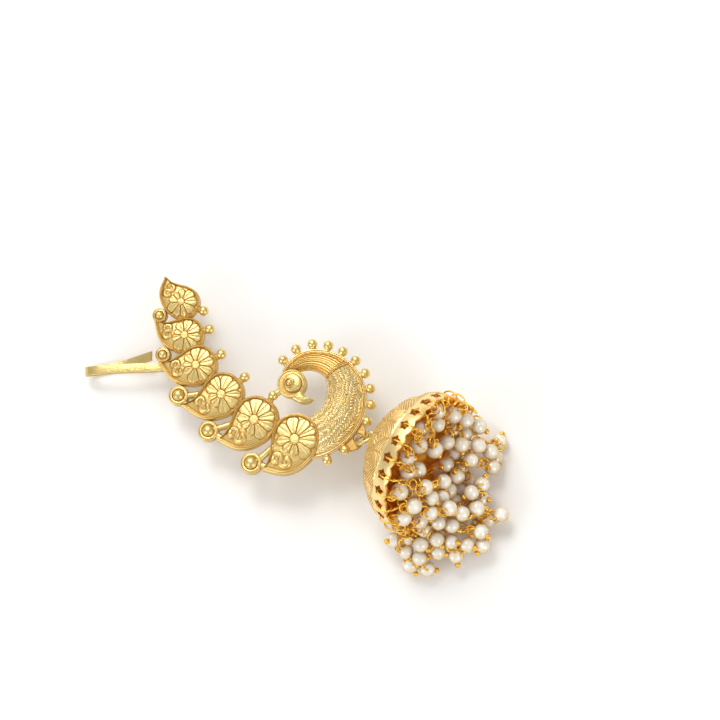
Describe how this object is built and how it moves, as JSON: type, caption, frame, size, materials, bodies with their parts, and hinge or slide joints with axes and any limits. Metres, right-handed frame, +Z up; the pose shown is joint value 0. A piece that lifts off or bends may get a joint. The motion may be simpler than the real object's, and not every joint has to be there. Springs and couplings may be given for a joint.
{
  "type": "ear cuff",
  "caption": "Gold ear cuff of paisley plaques and a peacock, with a rim hook, a lobe post and a pierced bell drop filled with small pearls, lying flat.",
  "frame": {"origin": "middle of the footprint of the lying earring, on the surface it rests on", "axes": "+X from the rim hook along the cuff towards the bell's mouth, +Y towards the open side of the peacock's curl, +Z up from the surface"},
  "size_m": [0.0958, 0.038, 0.031],
  "materials": {
    "cast_gold": "matte gold plate on a casting",
    "bright_gold": "polished gold plate",
    "bell_gold": "engraved gold plate with a smooth band",
    "pearl": "silvery white pearl on gold wire"
  },
  "bodies": {
    "root": {"cuff_front": "cast_gold", "ear_hook": "bright_gold", "ear_post": "bright_gold", "jump_ring": "bright_gold", "bell_dome": "bell_gold", "pearl_bunch_01": "pearl", "pearl_bunch_02": "pearl", "pearl_bunch_03": "pearl", "pearl_bunch_04": "pearl", "pearl_bunch_05": "pearl", "pearl_bunch_06": "pearl", "pearl_bunch_07": "pearl", "pearl_bunch_08": "pearl", "pearl_bunch_09": "pearl", "pearl_bunch_10": "pearl", "pearl_bunch_11": "pearl", "pearl_bunch_12": "pearl", "pearl_bunch_13": "pearl", "pearl_bunch_14": "pearl", "pearl_bunch_15": "pearl", "pearl_bunch_16": "pearl", "pearl_bunch_17": "pearl", "pearl_bunch_18": "pearl", "pearl_bunch_19": "pearl", "pearl_bunch_20": "pearl", "pearl_bunch_21": "pearl", "pearl_bunch_22": "pearl", "pearl_bunch_23": "pearl", "pearl_bunch_24": "pearl"}
  },
  "joints": []
}
